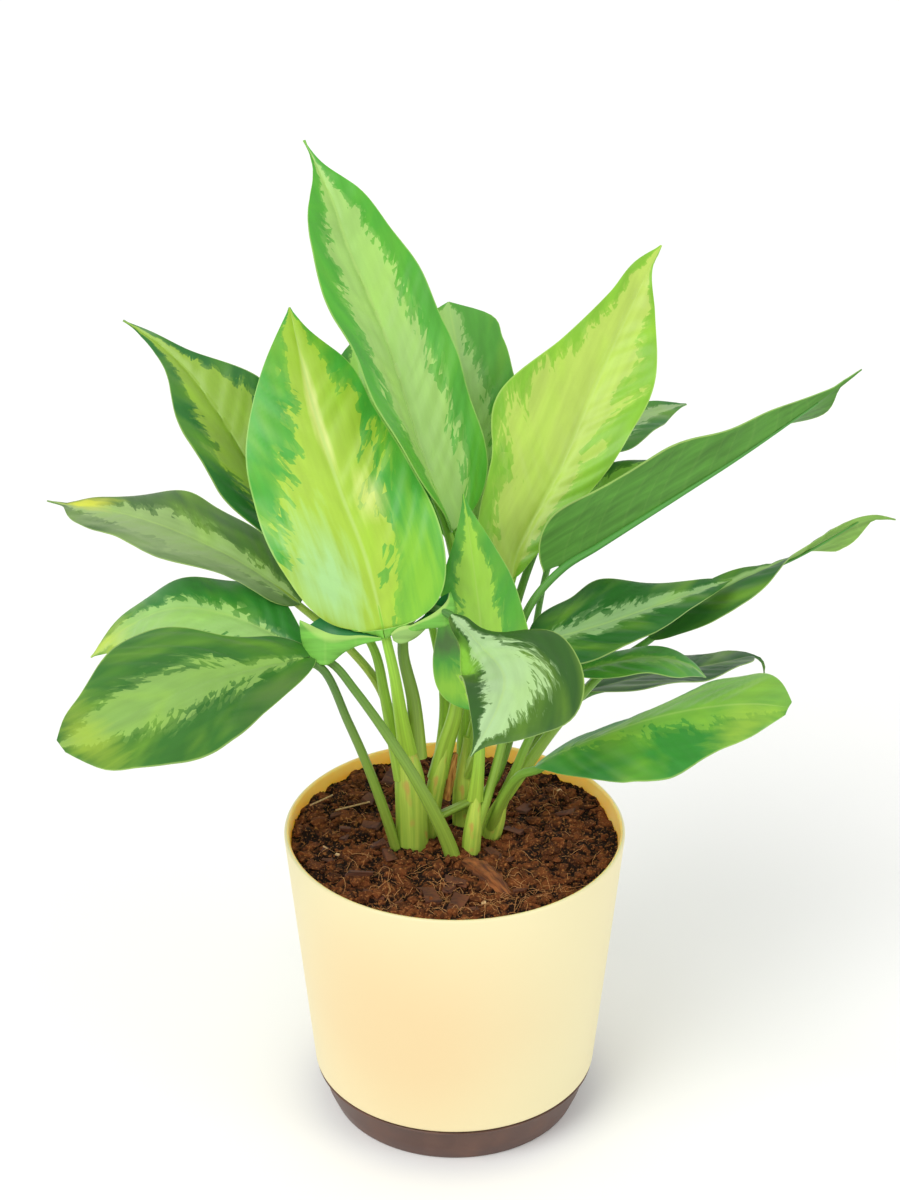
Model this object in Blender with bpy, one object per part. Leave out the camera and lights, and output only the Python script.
"""A Chinese evergreen (Aglaonema) in a cream plastic pot that stands in a dark brown saucer.

Metres, +Z up. The origin is the centre of the saucer's underside, and the plant is seen from -Y.
Sizes and places below are in millimetres, and MM turns them to metres where a mesh is made.
Each leaf is one solid: a thin blade along a spine, and the petiole that carries it on under the
blade as its midrib. The petioles leave five shoots, which stand in plain holes in the soil.
"""

import bisect
import math
from dataclasses import dataclass

import bmesh
import bpy
from mathutils import Vector, noise

MM = 0.001

# The small gap that stands for contact between two pieces
GAP = 0.3

# Pot: the wall, its skirt over the saucer's edge, and the foot that stands in the saucer
RIM_RADIUS = 85.0
RIM_HEIGHT = 157.6
WALL = 2.4
SKIRT_RADIUS = 71.9
SKIRT_HEIGHT = 22.3
FOOT_RADIUS = 59.0
FOOT_LEAN = 3.5
THROAT_RADIUS = 64.0
POT_FLOOR = 7.0
FLOOR_THICKNESS = 2.6
DRAIN_HOLES = 6
DRAIN_RADIUS = 4.5
DRAIN_CIRCLE = 38.0
DRAIN_SIDES = 10

# Saucer
SAUCER_RADIUS = 63.0
SAUCER_WALL = 2.2
SAUCER_HEEL = 1.5
SAUCER_SHOULDER = (66.3, 9.0)
SAUCER_NECK = (67.3, 18.5)
SAUCER_LIP_RADIUS = 71.2
SAUCER_LIP = 1.2

# Turned pieces
TURNED_SIDES = 48
SHARP_ANGLE = 35

# Soil
SOIL_HEIGHT = 150.0
SOIL_RINGS = 9
SOIL_RELIEF = 3.2
SOIL_CLUMP = 15.0
SOIL_HUMP = 2.0
SOIL_TILT = 3.0
THROAT_SOIL = 8.0

# Blades and petioles
BLADE_THICKNESS = 0.8
TIP_HALF_WIDTH = 0.7
STATIONS = (0.08, 0.25, 0.45, 0.65, 0.82, 0.94)
ROWS = (0.0, 0.025, 0.08, 0.17, 0.28, 0.4, 0.52, 0.64, 0.75, 0.85, 0.93, 1.0)
LONG_ROWS = (0.0, 0.03, 0.09, *(k * 0.08 + 0.01 for k in range(2, 9)), 0.72, 0.79, 0.86, 0.92, 0.96, 1.0)
CELLS = 3
SECTION_STEPS = 24
ROLL_START = 0.5
ROLL_POWER = 1.3
LOBE_REACH = 0.3
RIB_REACH = (0.0, 0.12, 0.24, 0.36)
RIB_END_RADIUS = 0.9
RIB_SUNK = 0.25
FINE = 160

# Tubes: (rings along the length, bevel resolution round it, which gives 6, 8 or 10 sides)
PETIOLE_RINGS = (13, 1)
SHOOT_RINGS = (6, 3)
ROOT_RINGS = (7, 2)
SHEATH_RINGS = (5, 2)


def clear_scene():
    for obj in list(bpy.data.objects):
        bpy.data.objects.remove(obj)


def finish(obj, hex_colour, roughness):
    """Gives an object its own plain Principled material."""
    red, green, blue = (int(hex_colour[i : i + 2], 16) / 255 for i in (1, 3, 5))
    linear = [(c / 12.92 if c <= 0.04045 else ((c + 0.055) / 1.055) ** 2.4) for c in (red, green, blue)]
    material = bpy.data.materials.new(obj.name)
    material.use_nodes = True
    shader = material.node_tree.nodes["Principled BSDF"]
    shader.inputs["Base Color"].default_value = (*linear, 1)
    shader.inputs["Roughness"].default_value = roughness
    shader.inputs["Metallic"].default_value = 0
    obj.data.materials.append(material)
    return obj


def new_object(name, data):
    obj = bpy.data.objects.new(name, data)
    bpy.context.scene.collection.objects.link(obj)
    return obj


def hide_helper(obj):
    obj.hide_render = True
    obj.display_type = "WIRE"
    return obj


def boolean(obj, operation, other, solver="EXACT"):
    modifier = obj.modifiers.new(f"{operation.title()} {other.name}", "BOOLEAN")
    modifier.operation = operation
    modifier.solver = solver
    modifier.object = other


# Smooth curves through hand-placed points


def through(knots, values, at):
    """The value at one place of a smooth curve through the values, which are numbers or vectors."""
    chords = [(b - a) / (t - s) for a, b, s, t in zip(values, values[1:], knots, knots[1:])]
    slopes = [chords[0]]
    for i in range(1, len(chords)):
        before = knots[i] - knots[i - 1]
        after = knots[i + 1] - knots[i]
        slopes.append((chords[i - 1] * after + chords[i] * before) / (before + after))
    slopes.append(chords[-1])
    if len(chords) > 1:
        slopes[0] = chords[0] * 1.5 - slopes[1] * 0.5
        slopes[-1] = chords[-1] * 1.5 - slopes[-2] * 0.5
    i = max(0, min(len(chords) - 1, bisect.bisect_right(knots, at) - 1))
    gap = knots[i + 1] - knots[i]
    s = (at - knots[i]) / gap
    start = values[i] * (2 * s**3 - 3 * s**2 + 1) + slopes[i] * (gap * (s**3 - 2 * s**2 + s))
    return start + values[i + 1] * (3 * s**2 - 2 * s**3) + slopes[i + 1] * (gap * (s**3 - s**2))


def along(points, fractions):
    """(place, direction) at each fraction of the length of the smooth curve through the points."""
    points = [Vector(point) for point in points]
    knots = [0.0]
    for a, b in zip(points, points[1:]):
        knots.append(knots[-1] + math.sqrt((b - a).length))
    fine = [through(knots, points, knots[-1] * k / FINE) for k in range(FINE + 1)]
    lengths = [0.0]
    for a, b in zip(fine, fine[1:]):
        lengths.append(lengths[-1] + (b - a).length)
    found = []
    for fraction in fractions:
        goal = fraction * lengths[-1]
        k = min(bisect.bisect_right(lengths, goal), FINE) - 1
        part = (goal - lengths[k]) / (lengths[k + 1] - lengths[k])
        found.append((fine[k].lerp(fine[k + 1], part), (fine[k + 1] - fine[k]).normalized()))
    return found


def between(values, u):
    """A number or vector that runs evenly through the given ones, from u = 0 to u = 1."""
    if len(values) == 1:
        return values[0]
    x = u * (len(values) - 1)
    i = min(int(x), len(values) - 2)
    return values[i] + (values[i + 1] - values[i]) * (x - i)


# Tubes, for petioles, shoots and roots


def tube(name, points, radii, rings, grow=0.0):
    """A closed tube along a smooth curve, whose radius runs evenly through the given ones."""
    steps, bevel_resolution = rings
    curve = bpy.data.curves.new(name, "CURVE")
    curve.dimensions = "3D"
    curve.twist_mode = "MINIMUM"
    curve.bevel_depth = MM
    curve.bevel_resolution = bevel_resolution
    curve.use_fill_caps = True
    fractions = [k / (steps - 1) for k in range(steps)]
    places = along(points, fractions)
    spline = curve.splines.new("POLY")
    spline.points.add(steps - 1)
    for k, (place, direction) in enumerate(places):
        if grow:
            place = place + direction * grow * (-1 if k == 0 else 1 if k == steps - 1 else 0)
        spline.points[k].co = (*(place * MM), 1)
        spline.points[k].radius = between(radii, fractions[k]) + grow
    guide = new_object(name + "_curve", curve)
    bpy.context.view_layer.update()
    mesh = bpy.data.meshes.new_from_object(guide.evaluated_get(bpy.context.evaluated_depsgraph_get()))
    mesh.name = name
    bpy.data.objects.remove(guide)
    bm = bmesh.new()
    bm.from_mesh(mesh)
    bmesh.ops.remove_doubles(bm, verts=bm.verts, dist=1e-7)
    bmesh.ops.recalc_face_normals(bm, faces=bm.faces)
    bm.to_mesh(mesh)
    bm.free()
    return new_object(name, mesh)


# Leaves


@dataclass
class Leaf:
    """One leaf. The half widths are the real ones, flat, at the six STATIONS from base to tip.

    The blade rises from the midrib at the fold angle, turns by the curl angle from there to its
    edge, and the roll turns only its outer half. Angles are in degrees, given from base to tip.
    """

    name: str
    spine: list
    face: list
    left: tuple
    right: tuple
    stalk: list
    seat: str = ""
    fold_left: tuple = (10,)
    fold_right: tuple = (10,)
    curl: tuple = (-5,)
    roll_left: tuple = (0,)
    roll_right: tuple = (0,)
    lobe: float = 0.0
    petiole: tuple = (2.6, 2.0)
    rows: tuple = ROWS
    cells: int = CELLS
    colour: str = "#5FA93F"
    solver: str = "EXACT"


def half_width(widths, u):
    """The half width at u, on a smooth outline that is round at the base and pointed at the tip."""
    knots = [0.0, *(math.sqrt(station) for station in STATIONS), 1.0]
    return max(TIP_HALF_WIDTH, through(knots, [0.0, *widths, 0.0], math.sqrt(u)))


def section(fold, curl, roll, reach):
    """(sideways, upward) place on a half blade of width 1, at the given reach from the midrib."""
    sideways = 0.0
    upward = 0.0
    step = reach / SECTION_STEPS
    for k in range(SECTION_STEPS):
        m = (k + 0.5) * step
        rolled = max(0.0, (m - ROLL_START) / (1 - ROLL_START)) ** ROLL_POWER
        angle = math.radians(fold + curl * m + roll * rolled)
        sideways += math.cos(angle) * step
        upward += math.sin(angle) * step
    return sideways, upward


def frames(leaf, fractions):
    """(centre, direction, upper side, leaf's right) at each fraction of the spine's length."""
    faces = [Vector(face).normalized() for face in leaf.face]
    found = []
    for u, (centre, direction) in zip(fractions, along(leaf.spine, fractions)):
        upper = between(faces, u)
        upper = (upper - direction * upper.dot(direction)).normalized()
        found.append((centre, direction, upper, direction.cross(upper)))
    return found


def blade_rows(leaf):
    """The blade's upper surface, as one row of points for each station, from left edge to right."""
    rows = []
    for u, (centre, direction, upper, right) in zip(leaf.rows, frames(leaf, leaf.rows)):
        row = []
        for j in range(-leaf.cells, leaf.cells + 1):
            is_left = j < 0
            reach = abs(j) / leaf.cells
            fold = between(leaf.fold_left if is_left else leaf.fold_right, u)
            roll = between(leaf.roll_left if is_left else leaf.roll_right, u)
            width = half_width(leaf.left if is_left else leaf.right, u)
            sideways, upward = section(fold, between(leaf.curl, u), roll, reach)
            back = leaf.lobe * reach**2 * max(0.0, 1 - u / LOBE_REACH) ** 2
            side = right * (width * sideways * (-1 if is_left else 1))
            row.append(centre + side + upper * (width * upward) - direction * back)
        rows.append(row)
    return rows


def blade(leaf):
    """A thin sheet, split into triangles before it gets its thickness, so both faces are alike."""
    bm = bmesh.new()
    grid = [[bm.verts.new(point * MM) for point in row] for row in blade_rows(leaf)]
    for near, far in zip(grid, grid[1:]):
        for j in range(2 * leaf.cells):
            a, b, c, d = near[j], near[j + 1], far[j + 1], far[j]
            if j < leaf.cells:
                bm.faces.new((a, b, d))
                bm.faces.new((b, c, d))
            else:
                bm.faces.new((a, b, c))
                bm.faces.new((a, c, d))
    mesh = bpy.data.meshes.new(leaf.name)
    bm.to_mesh(mesh)
    bm.free()
    obj = new_object(leaf.name, mesh)
    solidify = obj.modifiers.new("Thickness", "SOLIDIFY")
    solidify.thickness = BLADE_THICKNESS * MM
    solidify.offset = -1
    solidify.use_even_offset = False
    return obj


def petiole_route(leaf):
    """The petiole's points, which end under the blade, where the petiole becomes the midrib."""
    low = []
    for u, (centre, _, upper, _) in zip(RIB_REACH, frames(leaf, RIB_REACH)):
        radius = between((leaf.petiole[1], RIB_END_RADIUS), u / RIB_REACH[-1])
        low.append(centre - upper * (radius + RIB_SUNK))
    return [*leaf.stalk, *low]


def petiole_radii(leaf):
    return (leaf.petiole[0], sum(leaf.petiole) / 2, leaf.petiole[1], RIB_END_RADIUS)


def make_leaf(leaf, cutters):
    obj = blade(leaf)
    route = petiole_route(leaf)
    stalk = tube(leaf.name + "_petiole", route, petiole_radii(leaf), PETIOLE_RINGS)
    boolean(obj, "UNION", hide_helper(stalk), leaf.solver)
    if leaf.seat:
        boolean(obj, "DIFFERENCE", cutters[leaf.seat])
    return finish(obj, leaf.colour, 0.35)


LEAVES = [
    Leaf(
        name="leaf_top",
        spine=[
            (-1, 14, 315),
            (-14, 20, 350),
            (-33, 38, 407),
            (-50, 58, 442),
            (-59, 76, 462),
            (-72, 96, 483),
        ],
        face=[(0.85, -0.5, 0.3), (0.55, -0.7, 0.45), (0.2, -0.8, 0.5)],
        fold_left=(45, 35, 22, 20),
        fold_right=(15, 12, 15),
        curl=(-10, -10, 0),
        left=(16, 36, 33.5, 27, 15, 1.8),
        right=(35, 37, 33, 27.5, 16.5, 2.4),
        stalk=[(-8.5, 2.2, 185), (-4.6, 2, 203), (1, 1, 226), (4, 8, 270)],
        solver="MANIFOLD",
        seat="shoot_middle",
        petiole=(3.4, 2.2),
        colour="#86C95F",
    ),
    Leaf(
        name="leaf_front_broad",
        spine=[(-33, -25, 278), (-42, -16, 316), (-55, 0, 347), (-68, 26, 380), (-79, 60, 412)],
        face=[(-0.1, -0.9, 0.45), (-0.1, -0.85, 0.5), (0, -0.75, 0.65)],
        fold_left=(5, 8, 12),
        fold_right=(5, -8, -4),
        curl=(10, -10, -10),
        roll_left=(170, 20, 0, 0, 0, 0),
        roll_right=(150, 20, 0, 0, 0, 0),
        lobe=8,
        left=(40, 36, 41, 35, 20, 7),
        right=(38, 39, 35, 28, 20, 5),
        stalk=[(-23, -8, 205), (-26, -13, 228), (-29, -20, 256)],
        seat="shoot_left",
        petiole=(3.0, 2.4),
        cells=6,
        colour="#8FCB45",
    ),
    Leaf(
        name="leaf_left_upper",
        spine=[(-50, 6, 276), (-79, 16, 315), (-116, 46, 367), (-135, 62, 385), (-161, 80, 397)],
        face=[(0.3, -0.8, 0.5), (0.3, -0.75, 0.6)],
        fold_left=(40, 35, 25),
        fold_right=(12,),
        curl=(-10,),
        left=(11, 15, 28, 25, 9, 2),
        right=(18, 30, 32, 26, 7, 2),
        stalk=[(-26, -7, 190), (-30, -6, 212), (-34, -3, 234), (-39, 2, 257)],
        seat="shoot_left",
        colour="#4E9447",
    ),
    Leaf(
        name="leaf_left_narrow",
        spine=[
            (-74, 0, 284),
            (-103, 14, 299),
            (-138, 32, 308),
            (-169, 52, 308),
            (-194, 69, 303),
            (-203, 73, 303),
        ],
        face=[(-0.1, -0.2, 0.97)],
        fold_left=(8,),
        fold_right=(8,),
        curl=(-15,),
        left=(10, 12, 20, 18, 15, 8),
        right=(13, 21, 25, 24, 10, 5),
        stalk=[(-24, -1, 190), (-29, 2, 212), (-37, 4, 236), (-52, 0, 260)],
        seat="shoot_left",
        petiole=(2.4, 1.8),
        colour="#5C9A48",
    ),
    Leaf(
        name="leaf_left_middle",
        spine=[(-73, -28, 273), (-98, -10, 279), (-134, 16, 273), (-160, 32, 255), (-182, 42, 231)],
        face=[(-0.1, -0.4, 0.9), (-0.3, -0.5, 0.8)],
        fold_left=(5,),
        fold_right=(5,),
        curl=(-20,),
        left=(12, 22, 26, 24, 12, 4),
        right=(12, 22, 20, 16, 9, 3),
        stalk=[(2, -18, 128), (-1, -17, 151), (-19, -26, 201), (-47, -32, 253), (-59, -32, 269)],
        petiole=(2.9, 1.9),
        colour="#4C9150",
    ),
    Leaf(
        name="leaf_left_low",
        spine=[
            (-71, -38, 275),
            (-114, -64, 278),
            (-142, -84, 275),
            (-169, -102, 269),
            (-178, -108, 268),
        ],
        face=[(-0.1, -0.45, 0.89), (-0.2, -0.45, 0.85)],
        fold_left=(4,),
        fold_right=(4,),
        curl=(-15,),
        lobe=6,
        left=(13, 26, 37, 38, 29, 18),
        right=(17, 24, 43, 37, 24, 13),
        stalk=[(-27, -7, 136), (-29, -8, 150), (-41, -20, 201), (-51, -28, 234), (-63, -36, 268)],
        seat="shoot_left",
        petiole=(2.9, 2.0),
        colour="#3F8845",
    ),
    Leaf(
        name="leaf_back_centre",
        spine=[(12, 62, 275), (10, 78, 323), (3, 98, 363), (-3, 128, 387)],
        face=[(0.1, -0.85, 0.5), (0.1, -0.7, 0.7)],
        fold_left=(8,),
        fold_right=(8,),
        curl=(-15,),
        left=(16, 26, 30, 28, 22, 14),
        right=(16, 26, 28, 26, 24, 17),
        stalk=[(5, 14, 185), (5, 24, 214), (9, 46, 246)],
        solver="MANIFOLD",
        seat="shoot_back",
        colour="#63B04C",
    ),
    Leaf(
        name="leaf_back_left",
        spine=[(-22, 40, 287), (-34, 60, 331), (-46, 80, 360), (-50, 100, 378)],
        face=[(0.1, -0.8, 0.6), (0.1, -0.7, 0.7)],
        curl=(-10,),
        left=(10, 18, 20, 18, 12, 6),
        right=(10, 18, 20, 18, 12, 6),
        stalk=[(-7, 4, 195), (-5, 16, 222), (-12, 30, 259)],
        seat="shoot_middle",
        petiole=(2.2, 1.7),
        colour="#4E9447",
    ),
    Leaf(
        name="leaf_right_upright",
        spine=[
            (28, 22, 286),
            (31, 28, 298),
            (51, 48, 332),
            (71, 76, 370),
            (92, 106, 405),
            (102, 118, 421),
        ],
        face=[(0, -0.9, 0.45), (-0.1, -0.8, 0.55)],
        fold_left=(12,),
        fold_right=(12,),
        left=(22, 32, 42, 24, 12.5, 7),
        right=(9, 16, 25, 26, 12, 1),
        stalk=[(6, 14, 188), (12, 15, 214), (20, 17, 256)],
        seat="shoot_back",
        petiole=(2.8, 2.1),
        colour="#9BD13F",
    ),
    Leaf(
        name="leaf_back_right",
        spine=[(64, 76, 332), (80, 92, 334), (100, 112, 334), (118, 126, 332)],
        face=[(-0.1, -0.5, 0.85), (0, -0.3, 0.95)],
        left=(12, 14, 9, 7, 5, 2),
        right=(13, 17, 15, 12, 6, 2),
        stalk=[(6, 15, 178), (18, 31, 214), (37, 54, 276)],
        seat="shoot_back",
        petiole=(2.2, 1.7),
        colour="#4E9447",
    ),
    Leaf(
        name="leaf_right_folded",
        spine=[(50, 20, 294), (90, 34, 314), (146, 50, 345), (197, 64, 378)],
        face=[(-0.3, 0.5, 0.8)],
        fold_left=(50, 50, 50, 5, -60),
        fold_right=(50, 50, 50, 45, 40),
        curl=(0,),
        lobe=8,
        left=(12, 22, 24, 20, 23, 12),
        right=(28, 26, 26, 17, 10, 4),
        stalk=[(11, -10, 163), (17, -8, 184), (24, -4, 213), (34, 8, 273)],
        seat="shoot_front",
        colour="#4E9A45",
    ),
    Leaf(
        name="leaf_back_right_low",
        spine=[(46, 50, 282), (68, 62, 306), (88, 74, 319), (107, 84, 319)],
        face=[(0, -0.1, 0.97), (0, 0.1, 0.97)],
        left=(7, 12, 13, 13, 8, 3),
        right=(8, 14, 16, 14, 8, 3),
        stalk=[(-11, 4, 160), (4, 4, 168), (12, 5, 172), (20, 13, 177), (34, 34, 215)],
        seat="shoot_middle",
        petiole=(2.0, 1.6),
        colour="#3F8845",
    ),
    Leaf(
        name="leaf_right_middle",
        spine=[(36, -4, 264), (70, 4, 270), (105, 18, 276), (136, 34, 279)],
        face=[(-0.1, -0.2, 0.95)],
        fold_left=(6,),
        fold_right=(6,),
        curl=(-10,),
        left=(17, 25, 30, 18, 9, 4),
        right=(20, 24, 19, 14, 8, 3),
        stalk=[(6, 11, 182), (13, 4, 205), (25, -4, 240)],
        seat="shoot_back",
        petiole=(2.3, 1.9),
        colour="#3D8442",
    ),
    Leaf(
        name="leaf_centre_small",
        spine=[(13, -14, 232), (13, -9, 268), (8, -2, 312), (4, 6, 339)],
        face=[(0, -0.9, 0.45), (0, -0.85, 0.5)],
        fold_left=(5,),
        fold_right=(5,),
        left=(20, 24, 20, 15, 7, 2),
        right=(20, 24, 21, 16, 8, 2),
        stalk=[(10, -11, 180), (12, -13, 205)],
        solver="MANIFOLD",
        seat="shoot_front",
        petiole=(2.6, 2.2),
        colour="#7CC63F",
    ),
    Leaf(
        name="leaf_front_drooping",
        spine=[(-2, -30, 294), (12, -60, 293), (22, -90, 294), (19, -112, 290), (7, -136, 279)],
        face=[(-0.5, -0.2, 0.85), (0.1, -0.6, 0.8), (0.3, -0.9, 0.45)],
        fold_left=(20, 10, 5),
        fold_right=(20, 10, 5),
        curl=(-20, -25, -10),
        left=(4, 10, 34, 35, 16, 3),
        right=(5, 9, 18, 20, 12, 3),
        stalk=[(-18, -4, 200), (-20, -3, 231), (-25, -6, 262), (-22, -12, 280), (-12, -19, 291)],
        seat="shoot_left",
        petiole=(2.9, 2.0),
        colour="#5B9A48",
    ),
    Leaf(
        name="leaf_right_low",
        spine=[(38, -30, 211), (50, -42, 226), (95, -72, 263), (131, -98, 284), (149, -110, 289)],
        face=[(0.1, -0.45, 0.9), (0.2, -0.45, 0.85)],
        fold_left=(-15, -35, -15, 0),
        fold_right=(-10,),
        curl=(-10,),
        left=(18, 22, 26, 30, 27, 15),
        right=(7, 19, 30, 34, 24, 14),
        stalk=[(19, 2, 158), (24, -9, 180), (32, -22, 201)],
        seat="shoot_right",
        petiole=(2.9, 2.2),
        colour="#4FA04A",
    ),
    Leaf(
        name="leaf_right_back",
        spine=[(65, 30, 219), (93, 44, 219), (119, 56, 217), (140, 66, 216), (155, 74, 213)],
        face=[(0, 0.2, 0.97)],
        fold_left=(5,),
        fold_right=(5,),
        left=(10, 20, 22, 20, 12, 5),
        right=(10, 20, 22, 18, 10, 4),
        stalk=[(23, 5, 166), (33, 15, 186), (46, 22, 202)],
        solver="MANIFOLD",
        seat="shoot_right",
        petiole=(2.4, 1.9),
        colour="#2F6A2C",
    ),
    Leaf(
        name="leaf_right_tongue",
        spine=[(57, 0, 246), (77, 7, 248), (97, 12, 248), (114, 16, 242), (124, 18, 233)],
        face=[(0, -0.1, 0.97), (0.3, -0.1, 0.9)],
        fold_left=(5,),
        fold_right=(5,),
        curl=(-10,),
        left=(6, 8, 9, 8, 6, 3),
        right=(8, 12, 14, 16, 10, 4),
        stalk=[(23, 2, 170), (30, -3, 192), (38, -4, 214)],
        seat="shoot_right",
        petiole=(2.4, 1.7),
        colour="#4E9447",
    ),
    Leaf(
        name="leaf_right_long",
        spine=[
            (96, 26, 251),
            (116, 34, 264),
            (135, 42, 272),
            (153, 48, 278),
            (172, 54, 284),
            (191, 62, 293),
            (207, 68, 296),
            (220, 72, 293),
        ],
        face=[(0, -0.5, 0.85), (0, -0.4, 0.9), (-0.1, 0.1, 0.99), (0, 0.9, 0.3), (0, 1, 0.1)],
        fold_left=(5,),
        fold_right=(5,),
        left=(6, 8, 6, 3.5, 14.5, 9),
        right=(8, 15, 15, 5, 2.5, 1),
        stalk=[(25, 3, 174), (36, 6, 190), (48, 11, 206), (73, 20, 234)],
        seat="shoot_right",
        petiole=(2.6, 1.8),
        rows=LONG_ROWS,
        colour="#468C41",
    ),
]

# Shoots: the centre line from the buried end up, and the radius along it
SHOOTS = {
    "shoot_left": (
        [(-21, -5, 116), (-21, -5, 150), (-22, -5, 186), (-24, -6, 212), (-25, -7, 226)],
        (7.2, 7.6, 7.3, 6.4),
    ),
    "shoot_middle": (
        [(-12, 5, 132), (-12, 4, 160), (-7, 2, 192), (-2, 2, 214)],
        (4.6, 4.8, 4.2),
    ),
    "shoot_back": (
        [(5, 13, 122), (5, 13, 150), (5, 13, 183), (6, 13, 202)],
        (5.6, 5.8, 4.6),
    ),
    "shoot_front": (
        [(8, -11, 122), (8, -11, 151), (10, -11, 174), (11, -11, 191)],
        (4.6, 4.8, 4.0),
    ),
    "shoot_right": (
        [(14, 6, 122), (18, 4, 150), (23, 3, 170), (26, 2, 181)],
        (5.0, 5.4, 4.6),
    ),
}

# A fibrous root that lies half sunk in the soil, and a dry sheath between two shoots
ROOT = (
    [(5.5, -21.5, 150), (13, -31, 151.5), (20, -42, 151), (26, -51, 149)],
    (2.6, 4.4, 4.2, 2.2),
)
DRY_SHEATH = ([(-4.2, 6.2, 171), (-2.4, 5.6, 183), (0.5, 5.0, 197)], (2.0, 1.8, 1.0))


# Pot and saucer


def turned(name, profile):
    """A solid of revolution from its closed outline, given as (radius, height) points."""
    bm = bmesh.new()
    ring = [bm.verts.new((radius * MM, 0, height * MM)) for radius, height in profile]
    for a, b in zip(ring, ring[1:]):
        bm.edges.new((a, b))
    if profile[0][0] and profile[-1][0]:
        bm.edges.new((ring[-1], ring[0]))
    bmesh.ops.spin(
        bm,
        geom=bm.verts[:] + bm.edges[:],
        cent=(0, 0, 0),
        axis=(0, 0, 1),
        dvec=(0, 0, 0),
        angle=math.tau,
        steps=TURNED_SIDES,
        use_merge=False,
    )
    bmesh.ops.remove_doubles(bm, verts=bm.verts, dist=1e-6)

    # A flat underside or floor is one face, with no point in its middle
    middles = [point for point in bm.verts if math.hypot(point.co.x, point.co.y) < 1e-6]
    bmesh.ops.dissolve_verts(bm, verts=middles)
    bmesh.ops.recalc_face_normals(bm, faces=bm.faces)
    mesh = bpy.data.meshes.new(name)
    bm.to_mesh(mesh)
    bm.free()
    obj = new_object(name, mesh)
    mesh.shade_smooth()
    mesh.set_sharp_from_angle(angle=math.radians(SHARP_ANGLE))
    return obj


def arc(centre, radius, start, end, steps):
    """Points (radius, height) on an arc about a centre in the outline's plane, angles in degrees."""
    angles = [math.radians(start + (end - start) * k / steps) for k in range(steps + 1)]
    return [(centre[0] + radius * math.cos(a), centre[1] + radius * math.sin(a)) for a in angles]


def inner_radius(height):
    """The inside of the pot's wall, which follows its outside."""
    share = (height - SKIRT_HEIGHT) / (RIM_HEIGHT - SKIRT_HEIGHT)
    return SKIRT_RADIUS + (RIM_RADIUS - SKIRT_RADIUS) * share - WALL


def drain_cutter(k):
    """An upright rod through the pot's floor, the k-th of those on the drain circle."""
    bm = bmesh.new()
    bmesh.ops.create_cone(
        bm,
        cap_ends=True,
        segments=DRAIN_SIDES,
        radius1=DRAIN_RADIUS * MM,
        radius2=DRAIN_RADIUS * MM,
        depth=4 * FLOOR_THICKNESS * MM,
    )
    mesh = bpy.data.meshes.new("drain_cutter")
    bm.to_mesh(mesh)
    bm.free()
    cutter = hide_helper(new_object(f"drain_cutter_{k}", mesh))
    angle = math.tau * k / DRAIN_HOLES
    place = (DRAIN_CIRCLE * math.cos(angle), DRAIN_CIRCLE * math.sin(angle), POT_FLOOR)
    cutter.location = Vector(place) * MM
    return cutter


def make_pot():
    """A thin wall with a round lip, a skirt that rests on the saucer's edge, and a foot."""
    foot_bottom = SAUCER_WALL + GAP
    foot_inside = FOOT_RADIUS - WALL
    outline = [
        (0, POT_FLOOR),
        (foot_inside, POT_FLOOR),
        (foot_inside + GAP, foot_bottom),
        (FOOT_RADIUS, foot_bottom),
        (FOOT_RADIUS + FOOT_LEAN, SKIRT_HEIGHT - FOOT_LEAN),
        (THROAT_RADIUS, SKIRT_HEIGHT),
        (SKIRT_RADIUS, SKIRT_HEIGHT),
        *arc((RIM_RADIUS - WALL / 2, RIM_HEIGHT - WALL / 2), WALL / 2, 0, 180, 4),
        (inner_radius(SKIRT_HEIGHT + THROAT_SOIL), SKIRT_HEIGHT + THROAT_SOIL),
        (foot_inside + 1, SKIRT_HEIGHT - 1),
        (foot_inside, POT_FLOOR + FLOOR_THICKNESS),
        (0, POT_FLOOR + FLOOR_THICKNESS),
    ]
    pot = turned("pot", outline)
    for k in range(DRAIN_HOLES):
        boolean(pot, "DIFFERENCE", drain_cutter(k))
    return finish(pot, "#FDEFC0", 0.45)


def make_saucer():
    """A low round tray whose wall leans out to a thin lip, which the pot's skirt rests on."""
    top = SKIRT_HEIGHT - GAP
    outline = [
        (0, 0),
        *arc((SAUCER_RADIUS - SAUCER_HEEL, SAUCER_HEEL), SAUCER_HEEL, -90, -20, 4),
        SAUCER_SHOULDER,
        SAUCER_NECK,
        (SAUCER_NECK[0] + SAUCER_LIP, top - SAUCER_LIP),
        (SAUCER_LIP_RADIUS, top - SAUCER_LIP),
        (SAUCER_LIP_RADIUS, top),
        (SAUCER_NECK[0] - SAUCER_WALL + SAUCER_LIP, top),
        (SAUCER_NECK[0] - SAUCER_WALL, SAUCER_NECK[1]),
        (SAUCER_SHOULDER[0] - SAUCER_WALL, SAUCER_SHOULDER[1]),
        (SAUCER_RADIUS - SAUCER_WALL, SAUCER_WALL),
        (0, SAUCER_WALL),
    ]
    return finish(turned("saucer", outline), "#664840", 0.5)


def soil_height(x, y):
    """A low hump, higher at the back left and lower at the back right, with crumbly clumps."""
    share = math.hypot(x, y) / RIM_RADIUS
    hump = SOIL_HUMP * (1 - share**2)
    tilt = SOIL_TILT * (y - x) / (2 * RIM_RADIUS)
    clumps = SOIL_RELIEF * noise.fractal(Vector((x, y, 0)) / SOIL_CLUMP, 0.8, 2.0, 2)
    return SOIL_HEIGHT + hump + tilt + clumps


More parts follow.
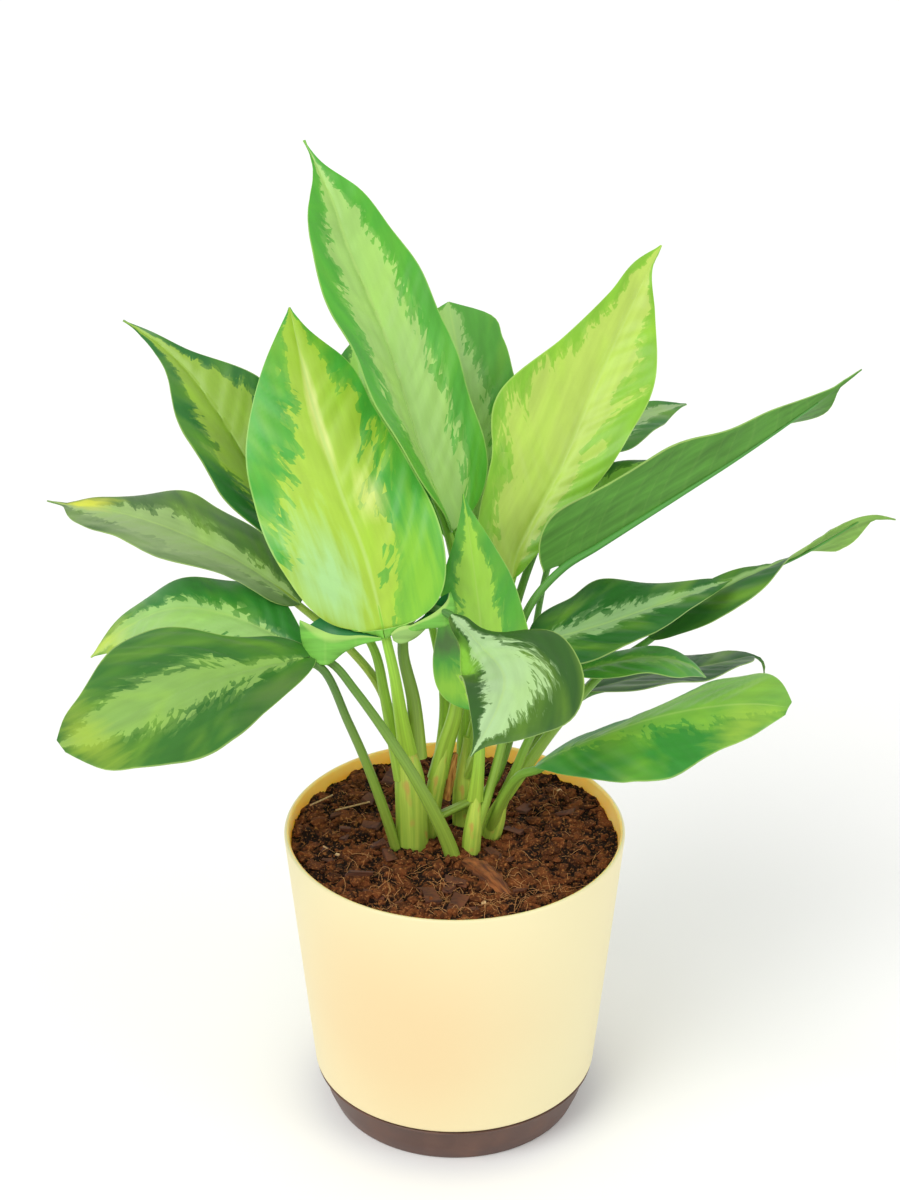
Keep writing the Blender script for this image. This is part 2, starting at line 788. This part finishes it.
def level_ring(bm, radius, height):
    """A round of points, at one height or at the height that a function gives for (x, y)."""
    ring = []
    for k in range(TURNED_SIDES):
        x = radius * math.cos(math.tau * k / TURNED_SIDES)
        y = radius * math.sin(math.tau * k / TURNED_SIDES)
        z = height(x, y) if callable(height) else height
        ring.append(bm.verts.new(Vector((x, y, z)) * MM))
    return ring


def make_soil(cutters):
    """It fills the pot down to its floor, one small gap clear of the wall."""
    bm = bmesh.new()
    wall = inner_radius(SOIL_HEIGHT) - GAP
    foot_inside = FOOT_RADIUS - WALL - 2 * GAP
    throat = SKIRT_HEIGHT + THROAT_SOIL
    floor = POT_FLOOR + FLOOR_THICKNESS + GAP
    rings = [level_ring(bm, wall * i / SOIL_RINGS, soil_height) for i in range(1, SOIL_RINGS + 1)]
    rings.append(level_ring(bm, inner_radius(throat) - 2 * GAP, throat))
    rings.append(level_ring(bm, foot_inside + 1, SKIRT_HEIGHT - 1))
    rings.append(level_ring(bm, foot_inside, floor))
    top = bm.verts.new(Vector((0, 0, soil_height(0, 0))) * MM)
    bottom = bm.verts.new(Vector((0, 0, floor)) * MM)
    for k in range(TURNED_SIDES):
        after = (k + 1) % TURNED_SIDES
        bm.faces.new((top, rings[0][k], rings[0][after]))
        bm.faces.new((bottom, rings[-1][after], rings[-1][k]))
        for near, far in zip(rings, rings[1:]):
            bm.faces.new((near[k], far[k], far[after], near[after]))
    bmesh.ops.triangulate(bm, faces=bm.faces)
    bmesh.ops.recalc_face_normals(bm, faces=bm.faces)
    mesh = bpy.data.meshes.new("soil")
    bm.to_mesh(mesh)
    bm.free()
    soil = new_object("soil", mesh)
    for cutter in cutters:
        boolean(soil, "DIFFERENCE", cutter)
    return finish(soil, "#4A2818", 0.95)


def main():
    clear_scene()
    cutters = {}
    for name, (points, radii) in SHOOTS.items():
        shoot = finish(tube(name, points, radii, SHOOT_RINGS), "#8DBB45", 0.4)
        shoot.data.shade_smooth()
        cutters[name] = hide_helper(tube(name + "_cutter", points, radii, SHOOT_RINGS, GAP))
    finish(tube("root", *ROOT, ROOT_RINGS), "#6E3B1C", 0.9)
    finish(tube("dry_sheath", *DRY_SHEATH, SHEATH_RINGS), "#B5763A", 0.8)
    holes = [*cutters.values(), hide_helper(tube("root_cutter", *ROOT, ROOT_RINGS, GAP))]
    for leaf in LEAVES:
        make_leaf(leaf, cutters)
        if leaf.stalk[0][2] < SOIL_HEIGHT:
            route = petiole_route(leaf)
            hole = tube(leaf.name + "_cutter", route, petiole_radii(leaf), PETIOLE_RINGS, GAP)
            holes.append(hide_helper(hole))
    make_soil(holes)
    make_pot()
    make_saucer()


main()
